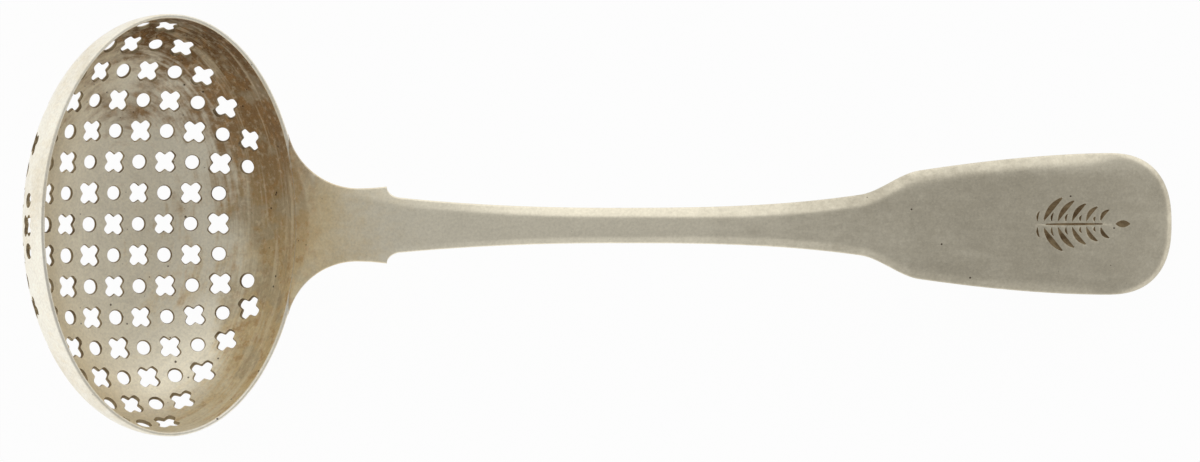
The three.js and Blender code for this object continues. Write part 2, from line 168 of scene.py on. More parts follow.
def silver_shell():
    """The bowl before it is pierced: inside, outside and the rounded rim between them."""
    side = shell_squares + 1
    a, b = np.meshgrid(np.linspace(-1, 1, side), np.linspace(-1, 1, side), indexing="ij")
    a, b = a.ravel(), b.ravel()
    is_along = np.abs(a) >= np.abs(b)
    with np.errstate(divide="ignore", invalid="ignore"):
        radial = np.where(is_along, a, b)
        turn = np.where(is_along, pi / 4 * b / a, pi / 2 - pi / 4 * a / b)
    direction = np.nan_to_num(turn) + np.where(radial < 0, pi, 0)
    free = free_rim(direction)
    rounding = rim_rounding * np.maximum(free, joint_rounding)
    length = wall_length(direction, half_wall) - rounding
    middle = lay_on_wall(direction, np.abs(radial) * length, half_wall)
    outward = outward_of_wall(middle, half_wall)
    below_rim = length * (1 - np.abs(radial))
    rim_thin = rim_thinning * free
    thin = (rim_thin + (thinning - rim_thin) * soft_step(below_rim, *thick_band))[:, None]
    points = [middle - outward * (half_wall - thin), middle + outward * bowl_wall / 2]

    grid = np.arange(side * side).reshape(side, side)
    corners = [grid[:-1, :-1], grid[1:, :-1], grid[1:, 1:], grid[:-1, 1:]]
    squares = np.stack(corners, -1).reshape(-1, 4)
    faces = [tuple(square) for square in squares]
    faces += [tuple(square[::-1] + side * side) for square in squares]

    border = np.concatenate([grid[:-1, 0], grid[-1, :-1], grid[:0:-1, -1], grid[0, :0:-1]])
    radius = rim_radius(direction[border], half_wall)
    rim = points_round(direction[border], radius, 0 * radius)
    rim_outward = outward_of_wall(rim, half_wall)
    up = np.array([0, 0, 1])
    rings = [border]
    count = 2 * side * side
    profile = [(-1, turn) for turn in np.linspace(0, pi / 2, rim_arc_steps + 1)[1:]]
    profile += [(1, turn) for turn in np.linspace(pi / 2, 0, rim_arc_steps + 1)[:-1]]
    rounding, rim_thin = rounding[border][:, None], rim_thin[border][:, None]
    for way, turn in profile:
        half = half_wall - (rim_thin if way < 0 else 0)
        aside = way * (half - rounding + rounding * cos(turn))
        height = rounding * (sin(turn) - 1)
        points.append(rim + rim_outward * aside + up * height)
        rings.append(np.arange(count, count + len(border)))
        count += len(border)
    rings.append(border + side * side)
    for lower, upper in zip(rings, rings[1:]):
        after_lower, after_upper = np.roll(lower, -1), np.roll(upper, -1)
        faces += [tuple(face) for face in np.stack([lower, upper, after_upper, after_lower], 1)]
    shell = mesh_object("bowl_shell", leaned(np.concatenate(points)), faces)
    inside = shell.data.attributes.new("inside", "BOOLEAN", "FACE")
    inside.data.foreach_set("value", np.arange(len(faces)) < len(squares))
    return shell


# The piercing is sawn by hand through the finished bowl: saltire crosses and round holes by turns,
# in rows along and across, in a field with cut corners that stops short of the heel.
pitch_along = 3.63 * mm
pitch_across = 4.03 * mm
field_shift = 0.95 * mm  # of the whole field, away from the handle
round_hole = 1.8 * mm
cross_reach = 1.5 * mm  # from the middle of a cross to the end of an arm
cross_arm = 1.2 * mm  # width of an arm
cross_turn = pi / 4
arm_end_power = 4  # how square the end of an arm is
arm_join_power = 9  # and how sharp the corner between two arms
plain_band = 4.0 * mm  # left unpierced below the rim
field_rows = 7
field_columns = 5
field_corner = 8
front_columns = 6
heel_columns = 4
short_rows = 1
hole_edge = 0.11 * mm  # width of the worn edge round each hole
widest_flare = 0.3 * mm
hand_turn = 0.05  # radians by which the saw strays
hand_size = 0.045  # and the share of a hole's size
cross_seed, round_seed = 3, 11
cross_sides, round_sides = 72, 28
saw_nudge = 0.05 * mm  # step along the wall that gives the pattern's ways there
plug_walls = 4  # length of a plug, in thicknesses of the wall
plug_segments = 8


def is_pierced(column, row):
    across = abs(row)
    if across > field_rows or abs(column) + across > field_corner:
        return False
    if across <= short_rows:
        return -front_columns <= column <= heel_columns
    return abs(column) <= field_columns


def on_middle_of_wall(flat):
    """Points of the flat pattern laid on the middle of the wall."""
    direction = np.arctan2(flat[:, 1], flat[:, 0])
    return lay_on_wall(direction, np.hypot(flat[:, 0], flat[:, 1]), half_wall)


def saw_places(is_cross):
    """A vertex for each hole of one kind, with the ways that its saw cut faces."""
    flat = np.array(
        [
            (column * pitch_along - field_shift, row * pitch_across)
            for column in range(-front_columns, front_columns + 1)
            for row in range(-field_rows, field_rows + 1)
            if is_pierced(column, row) and ((column + row) % 2 == 0) == is_cross
        ]
    )
    room = wall_length(np.arctan2(flat[:, 1], flat[:, 0]), half_wall) - np.hypot(*flat.T)
    flat = flat[room >= plain_band]
    middle = on_middle_of_wall(flat)
    outward = outward_of_wall(middle, half_wall)
    along, across = (
        unit(on_middle_of_wall(flat + way) - on_middle_of_wall(flat - way))
        for way in (np.array([saw_nudge, 0]), np.array([0, saw_nudge]))
    )
    along = along + np.cross(across, outward)  # so that a cross fits both ways of the pattern
    along = along - outward * (along * outward).sum(1)[:, None]
    places = mesh_object("saw_places", leaned(middle + outward * thinning / 2), [])
    for name, ways in {"outward": outward, "along": along}.items():
        kept = places.data.attributes.new(name, "FLOAT_VECTOR", "POINT")
        kept.data.foreach_set("vector", (leaned(ways) - rim_middle).ravel())
    return places


def join_nodes(tree, kind, inputs=(), **settings):
    """The outputs of a new node. An input is a value, a socket, a list of sockets, or a step of
    arithmetic in brackets: its operation and its terms, which may be such steps too."""
    made = tree.nodes.new(kind)
    for name, value in settings.items():
        setattr(made, name, value)
    for name, value in dict(inputs).items():
        for source in value if isinstance(value, list) else [value]:
            if isinstance(source, tuple) and isinstance(source[0], str):
                source = reckon(tree, *source)
            if isinstance(source, bpy.types.NodeSocket):
                tree.links.new(source, made.inputs[name])
            else:
                made.inputs[name].default_value = source
    return made.outputs


def reckon(tree, operation, *terms):
    """The result of a step of arithmetic."""
    return join_nodes(tree, "ShaderNodeMath", enumerate(terms), operation=operation)[0]


def soft_corner(tree, power, a, b):
    """Two terms raised to a power, added, and taken back down. With 2, this is a distance."""
    total = ("ADD", ("POWER", a, power), ("POWER", b, power))
    return reckon(tree, "POWER", total, 1 / power)


def sawing_tree():
    """Geometry Nodes that saw every hole through the shell, each a little off its neighbours."""
    tree = bpy.data.node_groups.new("sawn_piercing", "GeometryNodeTree")
    wanted = {
        "Geometry": ("Shell",),
        "Object": ("Cross places", "Round places"),
        "Float": ("Cross reach", "Cross arm", "Round hole", "Wall", "Worn edge"),
        "Material": ("Sawn metal painted shade", "Metal inside"),
    }
    for kind, names in wanted.items():
        for name in names:
            tree.interface.new_socket(name, in_out="INPUT", socket_type="NodeSocket" + kind)
    tree.interface.new_socket("Bowl", in_out="OUTPUT", socket_type="NodeSocketGeometry")
    given = join_nodes(tree, "NodeGroupInput")

    def add(kind, inputs=(), **settings):
        return join_nodes(tree, kind, inputs, **settings)[0]

    def coated(piece, metal, **where):
        return add("GeometryNodeSetMaterial", {"Geometry": piece, "Material": metal, **where})

    def attribute(name, kind):
        return add("GeometryNodeInputNamedAttribute", {"Name": name}, data_type=kind)

    def cutter(radius_at, sides):
        """A plug with an outline by a rule of the angle, and flared at both faces of the wall."""
        length = ("MULTIPLY", given["Wall"], plug_walls)
        plug = add(
            "GeometryNodeMeshCylinder",
            {"Vertices": sides, "Side Segments": plug_segments, "Radius": 1.0, "Depth": length},
            fill_type="TRIANGLE_FAN",
        )
        place = add("GeometryNodeInputPosition")
        parts = join_nodes(tree, "ShaderNodeSeparateXYZ", {0: place})
        worn = given["Worn edge"]
        beyond = ("SUBTRACT", ("ABSOLUTE", parts[2]), ("MULTIPLY", given["Wall"], 0.5))
        flare = ("MULTIPLY", ("MAXIMUM", ("ADD", ("DIVIDE", beyond, worn), 1.0), 0.0), worn)
        wide = ("ADD", radius_at(parts), ("MINIMUM", flare, widest_flare))
        from_axis = soft_corner(tree, 2, parts[0], parts[1])
        spread = reckon(tree, "DIVIDE", wide, ("MAXIMUM", from_axis, 1e-6))
        x, y = (("MULTIPLY", part, spread) for part in (parts[0], parts[1]))
        moved = add("ShaderNodeCombineXYZ", {0: x, 1: y, 2: parts[2]})
        off_axis = add("FunctionNodeCompare", {0: from_axis, 1: 0.5}, operation="GREATER_THAN")
        inputs = {"Geometry": plug, "Selection": off_axis, "Position": moved}
        # The plugs give the hole walls the darker sawn silver, which holds painted shade.
        return coated(add("GeometryNodeSetPosition", inputs), given["Sawn metal painted shade"])

    def cross_radius(parts):
        x, y = (reckon(tree, "ABSOLUTE", part) for part in (parts[0], parts[1]))
        half_arm = reckon(tree, "MULTIPLY", given["Cross arm"], 0.5)
        arms = []
        for long_side, short_side in ((x, y), (y, x)):
            end = reckon(tree, "DIVIDE", long_side, given["Cross reach"])
            edge = reckon(tree, "DIVIDE", short_side, half_arm)
            arms.append(("DIVIDE", 1.0, soft_corner(tree, arm_end_power, end, edge)))
        return soft_corner(tree, arm_join_power, *arms)

    def round_radius(parts):
        return reckon(tree, "MULTIPLY", given["Round hole"], 0.5)

    def strayed(middle, reach, seed):
        """A number for each hole, drawn from within a reach of the middle one."""
        limits = {2: middle - reach, 3: middle + reach, "Seed": seed}
        return join_nodes(tree, "FunctionNodeRandomValue", limits, data_type="FLOAT")[1]

    def sawn(places, plug, turn, seed):
        """The plugs of one kind, set in the wall, each turned and sized a little differently."""
        points = join_nodes(tree, "GeometryNodeObjectInfo", {"Object": places})["Geometry"]
        facing = add(
            "FunctionNodeAxesToRotation",
            {0: attribute("outward", "FLOAT_VECTOR"), 1: attribute("along", "FLOAT_VECTOR")},
            primary_axis="Z",
            secondary_axis="X",
        )
        about = add("ShaderNodeCombineXYZ", {2: strayed(turn, hand_turn, seed)})
        spin = add("FunctionNodeEulerToRotation", {0: about})
        facing = add("FunctionNodeRotateRotation", {0: facing, 1: spin}, rotation_space="LOCAL")
        size = strayed(1.0, hand_size, seed + 1)
        scale = add("ShaderNodeCombineXYZ", {0: size, 1: size, 2: 1.0})
        inputs = {"Points": points, "Instance": plug, "Rotation": facing, "Scale": scale}
        plugs = add("GeometryNodeInstanceOnPoints", inputs)
        return add("GeometryNodeRealizeInstances", {"Geometry": plugs})

    crosses = sawn(given["Cross places"], cutter(cross_radius, cross_sides), cross_turn, cross_seed)
    rounds = sawn(given["Round places"], cutter(round_radius, round_sides), 0.0, round_seed)
    pierced = add(
        "GeometryNodeMeshBoolean",
        {"Mesh 1": given["Shell"], "Mesh 2": [crosses, rounds]},
        operation="DIFFERENCE",
        solver="MANIFOLD",
    )
    whole = add("GeometryNodeRealizeInstances", {"Geometry": pierced})
    finished = coated(whole, given["Metal inside"], Selection=attribute("inside", "BOOLEAN"))
    join_nodes(tree, "NodeGroupOutput", {0: finished})
    return tree


# The silver is old. It has toned brown inside the bowl, where it is wiped less, and is worn almost
# clean elsewhere. It has streaks of wiping, specks, small pits and the fine scratches of use.
fine_patch = 1.1 * mm  # the smaller patches of tarnish
fine_strength = 0.45
streak_width = 0.9 * mm
streak_strength = 6.0
stain_band = (0.15, 0.95)  # what has gathered where tarnish begins to show, and shows fully
wiped_width = 1.5 * mm
wiped_strength = 2.2
speck_size = 0.8 * mm
speck_strength = 1.6
cleaned_band = (0.5, 0.7)
pit_kinds = ((1.9 * mm, 0.16 * mm), (1.0 * mm, 0.09 * mm))  # spacing and radius
# The scratches run in four ways, each with its turn and its width.
scratch_kinds = ((0.35, 0.09 * mm), (-0.8, 0.07 * mm), (1.45, 0.08 * mm), (-0.12, 0.06 * mm))
scratch_stretch = (0.045, 1, 0.6)
scratch_band = (0.66, 0.74)
scratch_shine = 0.3
pit_stain = 0.85
least_shade = 0.92
shade_patch = 3.0 * mm
shade_strength = 0.16
grain_size = 0.35 * mm
grain_strength = 0.42
relief_depth = 0.03 * mm


def colour(red, green, blue):
    """A colour given as it looks on screen, from 0 to 255 and not near black."""
    return (*(((value / 255 + 0.055) / 1.055) ** 2.4 for value in (red, green, blue)), 1.0)


clean_silver = colour(247, 239, 217)
brown_tarnish = colour(166, 136, 99)
dark_tarnish = colour(132, 104, 72)
straw_tarnish = colour(226, 207, 167)
orange_tarnish = colour(196, 156, 108)
# a grey film in the bowl, and the colour of the painted shade on the handle's broad end
grey_film_and_painted_shade = colour(200, 192, 172)
pit_brown = colour(60, 44, 30)


def blend_colours(tree, share, low, high, way="MIX"):
    inputs = {0: share, 6: low, 7: high}
    return join_nodes(tree, "ShaderNodeMix", inputs, data_type="RGBA", blend_type=way)[2]


def ramp(tree, value, low, high, low_out=0.0, high_out=1.0):
    """A soft step from one value to another."""
    inputs = {0: value, 1: low, 2: high, 3: low_out, 4: high_out}
    return join_nodes(tree, "ShaderNodeMapRange", inputs, interpolation_type="SMOOTHSTEP")[0]


def mottle(tree, place, size, detail, stretch=(1, 1, 1), turn=0.0):
    """Soft irregular patches of about a size, which a stretch draws out into streaks."""
    laid = join_nodes(tree, "ShaderNodeMapping", {0: place, 2: (0, 0, turn), 3: stretch})[0]
    inputs = {"Vector": laid, "Scale": 1 / size, "Detail": detail, "Roughness": 0.6}
    return join_nodes(tree, "ShaderNodeTexNoise", inputs)[0]


def brushed_along(tree, place):
    """Scratches of wiping and polishing run the length of the handle."""
    return join_nodes(tree, "ShaderNodeMapping", {0: place, 3: (0.07, 1, 0.5)})[0]


def pitted_at(tree, place, spacing, radius, chance):
    """Small round pits, one in a share of the cells of a scattered pattern."""
    cells = join_nodes(tree, "ShaderNodeTexVoronoi", {"Vector": place, "Scale": 1 / spacing})
    share = radius / spacing
    near = ramp(tree, cells["Distance"], 0.6 * share, 1.2 * share, 1.0, 0.0)
    lot = join_nodes(tree, "ShaderNodeSeparateColor", {0: cells["Color"]})[0]
    return reckon(tree, "MULTIPLY", near, ramp(tree, lot, 1 - chance, 1.03 - chance))


def added_up(tree, total, *parts):
    """A value with others added to it, each of them times a number."""
    for part, times in parts:
        total = reckon(tree, "ADD", total, ("MULTIPLY", part, times))
    return total


def cleared_tree(owner):
    """The node tree of a material or a world, emptied."""
    owner.use_nodes = True
    owner.node_tree.nodes.clear()
    return owner.node_tree


def old_silver(
    name,
    clean,
    stain,
    stained_at,
    dullness,
    pits=0.0,
    patch=7 * mm,
    patchy=1.5,
    brushed=brushed_along,
    streaked=0.2,
):
    """Worn silver: clean metal, tarnish where it is told to gather, scratches and small pits."""
    material = bpy.data.materials.new(name)
    tree = cleared_tree(material)
    place = join_nodes(tree, "ShaderNodeTexCoord")["Object"]

    broad = mottle(tree, place, patch, 4.0)
    fine = mottle(tree, place, fine_patch, 4.0)
    uneven = reckon(tree, "SUBTRACT", fine, 0.5)
    flow = brushed(tree, place)
    streaks = reckon(tree, "SUBTRACT", mottle(tree, flow, streak_width, 5.0), 0.5)
    gathered = added_up(
        tree,
        stained_at(tree, place),
        (("SUBTRACT", broad, 0.5), patchy),
        (uneven, fine_strength),
        (streaks, streak_strength * streaked),
    )
    stained = ramp(tree, gathered, *stain_band)
    wiped = (mottle(tree, flow, wiped_width, 3.0), wiped_strength)
    speckled = (mottle(tree, place, speck_size, 5.0), speck_strength)
    for marks, strength in (wiped, speckled):
        left = ramp(tree, marks, *cleaned_band, 1.0, 1.0 - strength * streaked)
        stained = reckon(tree, "MULTIPLY", stained, left)

    large, small = (pitted_at(tree, place, *kind, pits) for kind in pit_kinds)
    pitted = reckon(tree, "MAXIMUM", large, ("MULTIPLY", small, ramp(tree, broad, 0.5, 0.6)))
    scratches = 0.0
    for turn, width in scratch_kinds:
        lines = mottle(tree, place, width, 1.0, scratch_stretch, turn)
        scratches = reckon(tree, "MAXIMUM", scratches, ramp(tree, lines, *scratch_band))

    metal = blend_colours(tree, stained, clean, stain(tree, place) if callable(stain) else stain)
    patches = (mottle(tree, place, shade_patch, 5.0), shade_strength)
    grain = (("SUBTRACT", mottle(tree, place, grain_size, 3.0), 0.5), grain_strength)
    shade = added_up(tree, least_shade, patches, (streaks, streaked), grain)
    grey = join_nodes(tree, "ShaderNodeCombineColor", {0: shade, 1: shade, 2: shade})[0]
    metal = blend_colours(tree, 1.0, metal, grey, "MULTIPLY")
    metal = blend_colours(tree, ("MULTIPLY", scratches, scratch_shine), metal, clean)
    metal = blend_colours(tree, ("MULTIPLY", pitted, pit_stain), metal, pit_brown)
    rough = added_up(tree, dullness, (stained, 0.1), (scratches, 0.07), (uneven, 0.12))
    swell = ("MULTIPLY", broad, 3.0)
    sunk = ((scratches, -0.07), (pitted, -1.2))
    relief = added_up(tree, swell, (fine, 0.16), *sunk, (streaks, streaked))
    worn = {"Strength": 1.0, "Distance": relief_depth, "Height": relief}
    surface = {
        "Base Color": metal,
        "Metallic": 1.0,
        "Roughness": rough,
        "Normal": join_nodes(tree, "ShaderNodeBump", worn)[0],
    }
    shader = join_nodes(tree, "ShaderNodeBsdfPrincipled", surface)[0]
    join_nodes(tree, "ShaderNodeOutputMaterial", {0: shader})
    return material


def place_in_bowl(tree, place):
    """How far a point lies towards the handle, across, and below the rim, in the bowl's halves."""
    middle = tuple(rim_middle)
    off = join_nodes(tree, "ShaderNodeVectorMath", {0: place, 1: middle}, operation="SUBTRACT")[0]
    ways = ((lean_cos, 0, -lean_sin), (0, 1, 0), (-lean_sin, 0, -lean_cos))
    parts = []
    for way, half in zip(ways, (bowl_length / 2, bowl_width / 2, bowl_depth)):
        inputs = {0: off, 1: tuple(part / half for part in way)}
        dot = join_nodes(tree, "ShaderNodeVectorMath", inputs, operation="DOT_PRODUCT")
        parts.append(dot["Value"])
    return parts


brushed_ring = 2.5 * mm  # radius that the pattern of wiping takes the whole bowl to have
brushed_out, brushed_up = 20 * mm, 14 * mm  # and how far it runs up the wall


def brushed_round(tree, place):
    """Inside the bowl the scratches of wiping run round the wall."""
    along, across, below = place_in_bowl(tree, place)
    out = soft_corner(tree, 2, along, across)
    near = reckon(tree, "MAXIMUM", out, 0.05)
    x, y = (("MULTIPLY", ("DIVIDE", part, near), brushed_ring) for part in (along, across))
    up_wall = ("SUBTRACT", ("MULTIPLY", out, brushed_out), ("MULTIPLY", below, brushed_up))
    return join_nodes(tree, "ShaderNodeCombineXYZ", {0: x, 1: y, 2: up_wall})[0]


def stained_inside(tree, place):
    """Tarnish gathers below the rim, most towards the handle and the far side."""
    along, across, below = place_in_bowl(tree, place)
    band = ramp(tree, below, 0.2, 0.85, 0.5, 0.0)
    toward_handle = ramp(tree, along, -0.7, 0.7, -0.5, 0.15)
    past_holes = ramp(tree, along, 0.62, 0.76, 0.0, 0.4)
    far_side = ramp(tree, across, 0.1, 0.9, 0.0, 0.7)
    total = ("ADD", ("ADD", band, ("ADD", toward_handle, past_holes)), far_side)
    return reckon(tree, "ADD", total, 0.1)


def tarnish_inside(tree, place):
    """Straw-coloured where it has formed thinly, on the near side, and brown on the far wall."""
    across = place_in_bowl(tree, place)[1]
    warm = blend_colours(tree, ramp(tree, across, -0.4, 0.55), straw_tarnish, brown_tarnish)
    warm = blend_colours(tree, ramp(tree, across, 0.6, 0.95), warm, dark_tarnish)
    orange_spots = ramp(tree, mottle(tree, place, 1.3 * mm, 4.0), 0.5, 0.62, 0.0, 0.5)
    warm = blend_colours(tree, orange_spots, warm, orange_tarnish)
    filmed = ramp(tree, mottle(tree, place, 5 * mm, 3.0), 0.52, 0.62, 0.0, 0.5)
    return blend_colours(tree, filmed, warm, grey_film_and_painted_shade)


def stained_lightly(tree, place):
    return mottle(tree, place, 22 * mm, 2.0)


shell = silver_shell()
cross_places = saw_places(True)
round_places = saw_places(False)
bowl_inside = old_silver(
    "silver_bowl_inside",
    clean_silver,
    tarnish_inside,
    stained_inside,
    dullness=0.46,
    pits=0.6,
    patch=6 * mm,
    patchy=2.0,
    brushed=brushed_round,
    streaked=0.25,
)
outside_clean, outside_stain = colour(253, 248, 233), colour(240, 231, 210)
bowl_outside = old_silver(
    "silver_bowl_outside", outside_clean, outside_stain, stained_lightly, dullness=0.34, pits=0.1
)
# The walls of the holes take a darker silver: tarnish in the piercings, and painted shade for the
# shadow on the walls.
sawn_clean_painted_shade, sawn_stain_painted_shade = colour(176, 160, 130), colour(112, 92, 66)
sawn_metal_painted_shade = old_silver(
    "silver_sawn_edge_painted_shade", sawn_clean_painted_shade, sawn_stain_painted_shade, stained_lightly, dullness=0.5, patch=2 * mm
)
shell.data.materials.append(bowl_outside)
shell.data.materials.append(sawn_metal_painted_shade)

sawing = shell.modifiers.new("sawn_piercing", "NODES")
sawing.node_group = sawing_tree()
saw_settings = {
    "Cross places": cross_places,
    "Round places": round_places,
    "Cross reach": cross_reach,
    "Cross arm": cross_arm,
    "Round hole": round_hole,
    "Wall": bowl_wall - thinning,
    "Worn edge": hole_edge,
    "Sawn metal painted shade": sawn_metal_painted_shade,
    "Metal inside": bowl_inside,
}
for item in sawing.node_group.interface.items_tree:
    if item.name in saw_settings:
        sawing[item.identifier] = saw_settings[item.name]


def finished_mesh(source):
    """What a piece's modifiers make of it, as a plain mesh."""
    bpy.context.view_layer.update()
    evaluated = source.evaluated_get(bpy.context.evaluated_depsgraph_get())
    return bpy.data.meshes.new_from_object(evaluated)


def made_plain(source, name):
    """The finished piece, smooth but for its real edges, in place of the one it comes from."""
    mesh = finished_mesh(source)
    mesh.name = name
    bpy.data.objects.remove(source)
    mesh.shade_smooth()
    mesh.set_sharp_from_angle(angle=edge_angle)
    return set_out(name, mesh)


edge_angle = radians(38)
bowl = made_plain(shell, "bowl_pierced")
for places in (cross_places, round_places):
    bpy.data.objects.remove(places)
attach(bowl, "root")
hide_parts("bowl")

# The handle is forged from one bar: a root that spreads along the rim between two notched
# shoulders, a narrow arched stem with filed bevels, and a broad flat end with rounded corners.
lip_reach = 1.9 * mm
root_length = 7.45 * mm
shoulder_length = 3.75 * mm
notch_length = 2.0 * mm
stem_near_length = 27.05 * mm
stem_far_length = 31.7 * mm
fiddle_shoulder_length = 7.6 * mm
fiddle_side_length = 24.9 * mm
neck_width = 9.4 * mm
flare_radius = 9.4 * mm
wing_turn = radians(75)  # how far round the flare runs along the rim
shoulder_width = 9.9 * mm
stem_root_width = 7.0 * mm
waist_width = 4.53 * mm
fiddle_root_width = 7.8 * mm
fiddle_shoulder_width = 13.95 * mm
fiddle_width = 18.35 * mm
stem_near_curve = 2.15  # how late the stem widens towards the root
stem_far_curve = 2.8  # and towards the fiddle
fiddle_side_curve = 1.7
fiddle_end_fullness = 2.45
shoulder_slope = 0.15
crown_height = 21.5 * mm
crown_reach = 36.0 * mm
rise_angle = radians(36)
fall_angle = radians(27)
cove_angle = radians(50)
root_thickness = 5.0 * mm
stem_thickness = 2.9 * mm
fiddle_thickness = 1.9 * mm
tip_wear = 0.6 * mm  # ground off the back of the tip, where it rests on the table
edge_height = 0.45 * mm  # upright edge below the bevel
wing_edge_height = 1.8 * mm  # where the root spreads along the rim
edge_rounding = 0.16 * mm
far_bevel = (1.15 * mm, 1.5 * mm)  # its width on the stem and on the broad end
near_bevel = (0.8 * mm, 1.1 * mm)
ridge_softness = (0.22 * mm, 0.5 * mm)
bevel_slope = 0.5
root_bevel = 0.5  # share of that slope at the root
bevel_fade = 4 * mm  # the bevels begin to run out this far before the rounded end
tip_bevel = 0.5 * mm  # worn along the end of the handle
tip_slope = 0.9
tip_reach = 0.6  # share of the rounded end over which that wear sets in
lip_softness = 0.6 * mm
wing_slope = 0.4  # the crest falls this much from the lip, as it runs out along the rim
wing_fall = 0.07 / mm  # and ever more with each millimetre
stem_back_fullness = 2.2
fiddle_back_fullness = 6
front_facets = 44
back_facets = 30

rim_place = outer_length * lean_cos
lip_place = rim_place + lip_reach
neck_place = rim_place + root_length
shoulder_place = neck_place + shoulder_length
stem_place = shoulder_place + notch_length
waist_place = stem_place + stem_near_length
fiddle_place = waist_place + stem_far_length
fiddle_side_place = fiddle_place + fiddle_shoulder_length
fiddle_end_place = fiddle_side_place + fiddle_side_length
tip_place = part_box("handle")[1].x - rim_x
fiddle_end_length = tip_place - fiddle_end_place
crown_place = lip_place + crown_reach


def between(low, high, share):
    return low + (high - low) * share


def eased(share, length, start, start_slope, end, end_slope):
    """A smooth way from one height and slope to another."""
    square, cube = share**2, share**3
    value = start * (2 * cube - 3 * square + 1) + end * (3 * square - 2 * cube)
    bend = start_slope * (cube - 2 * square + share) + end_slope * (cube - square)
    return value + length * bend


def half_width(place):
    """Half the handle's width at a distance from the middle of the rim."""
    if place < neck_place:
        back = min(neck_place - place, flare_radius)
        return neck_width / 2 + flare_radius - sqrt(flare_radius**2 - back**2)
    if place < shoulder_place:
        share = ((place - neck_place) / shoulder_length) ** 2
        return between(neck_width, shoulder_width, share) / 2
    if place < stem_place:
        share = 1 - (place - shoulder_place) / notch_length
        return between(shoulder_width, stem_root_width, sqrt(1 - share * share)) / 2
    if place < waist_place:
        share = ((waist_place - place) / stem_near_length) ** stem_near_curve
        return between(waist_width, stem_root_width, share) / 2
    if place < fiddle_place:
        share = ((place - waist_place) / stem_far_length) ** stem_far_curve
        return between(waist_width, fiddle_root_width, share) / 2
    if place < fiddle_side_place:
        share = (place - fiddle_place) / fiddle_shoulder_length
        ends = (fiddle_root_width / 2, shoulder_slope, fiddle_shoulder_width / 2, shoulder_slope)
        return eased(share, fiddle_shoulder_length, *ends)
    if place < fiddle_end_place:
        share = ((fiddle_end_place - place) / fiddle_side_length) ** fiddle_side_curve
        return between(fiddle_width, fiddle_shoulder_width, share) / 2
    share = (place - fiddle_end_place) / fiddle_end_length
    return fiddle_width / 2 * (1 - share**fiddle_end_fullness) ** (1 / fiddle_end_fullness)


def inside_flare(place, aside):
    """From the hollow edge of the spreading root in to a point of it."""
    middle = neck_width / 2 + flare_radius - abs(aside)
    return hypot(neck_place - place, middle) - flare_radius


def bevel_left(place):
    """1 where the bevels run in full, falling to 0 round the end of the handle."""
    return 1 - soft_step(place, fiddle_end_place - bevel_fade, tip_place)


def beyond_ridge(place, aside, bevel):
    """How far a point lies outside the ridge of a bevel. The ridge runs straight past the notch."""
    if place < neck_place:
        return bevel - inside_flare(place, aside)
    if place < stem_place:
        share = (place - neck_place) / (stem_place - neck_place)
        return abs(aside) + bevel - between(neck_width, stem_root_width, share) / 2
    return abs(aside) + bevel * bevel_left(place) - half_width(place)


def cove_height(place, aside):
    """The cove that carries the inside of the bowl on, from the rim's inner edge up to the lip."""
    rim = bowl_length / 2 * sqrt(max(0, 1 - (aside / (bowl_width / 2)) ** 2))
    return rim_height - rim * lean_sin + (place - rim * lean_cos) * tan(cove_angle)


def face_height(place):
    """The height of the front along its middle line."""
    lip_height = cove_height(lip_place, 0)
    if place < lip_place:
        back = lip_place - place
        return lip_height - back * (wing_slope + wing_fall * back)
    if place < crown_place:
        share = (place - lip_place) / crown_reach
        return eased(share, crown_reach, lip_height, tan(rise_angle), crown_height, 0)
    length = tip_place - crown_place
    ends = (crown_height, 0, fiddle_thickness - tip_wear, -tan(fall_angle))
    return eased((place - crown_place) / length, length, *ends)


def flatness(place):
    """0 on the stem, rising to 1 on the broad end."""
    return soft_step(place, fiddle_place - fiddle_shoulder_length, fiddle_side_place)


def handle_thickness(place):
    stem = between(root_thickness, stem_thickness, soft_step(place, lip_place, stem_place))
    return between(stem, fiddle_thickness, flatness(place))


def edge_distance(place, aside):
    """From a point of the front to the handle's outline, and how near it lies to it from 0 to 1."""
    half = half_width(place)
    if place < neck_place:
        return inside_flare(place, aside), abs(aside) / half
    if place <= fiddle_end_place:
        return half - abs(aside), abs(aside) / half
    far = (place - fiddle_end_place) / fiddle_end_length
    wide = abs(aside) / (fiddle_width / 2)
    power = fiddle_end_fullness
    near = (far**power + wide**power) ** (1 / power)
    steep = (far ** (power - 1) / fiddle_end_length, wide ** (power - 1) / (fiddle_width / 2))
    slope = hypot(*steep) / near ** (power - 1)
    return max(0, 1 - near) / slope, min(near, 1)


def soft_rise(value, softness):
    """The value where it is over zero and zero below, with the corner rubbed round."""
    return (value + hypot(value, softness)) / 2


def front_drop(place, aside):
    """How far the front lies below the height of the middle line: its bevels and rounded edge."""
    wide = soft_step(place, waist_place, fiddle_place - fiddle_shoulder_length)
    bevel = between(*(far_bevel if aside > 0 else near_bevel), wide)
    flat = soft_step(place, fiddle_place, fiddle_side_place)
    rise = soft_rise(beyond_ridge(place, aside, bevel), between(*ridge_softness, flat))
    slope = bevel_slope * between(root_bevel, 1, soft_step(place, stem_place, crown_place))
    drop = slope * bevel_left(place) * rise
    distance = edge_distance(place, aside)[0]
    worn = soft_step(place, fiddle_end_place, between(fiddle_end_place, tip_place, tip_reach))
    drop += tip_slope * worn * soft_rise(tip_bevel - distance, edge_rounding)
    corner = min(distance, edge_rounding) - edge_rounding
    return drop + edge_rounding - sqrt(max(edge_rounding**2 - corner**2, 0))


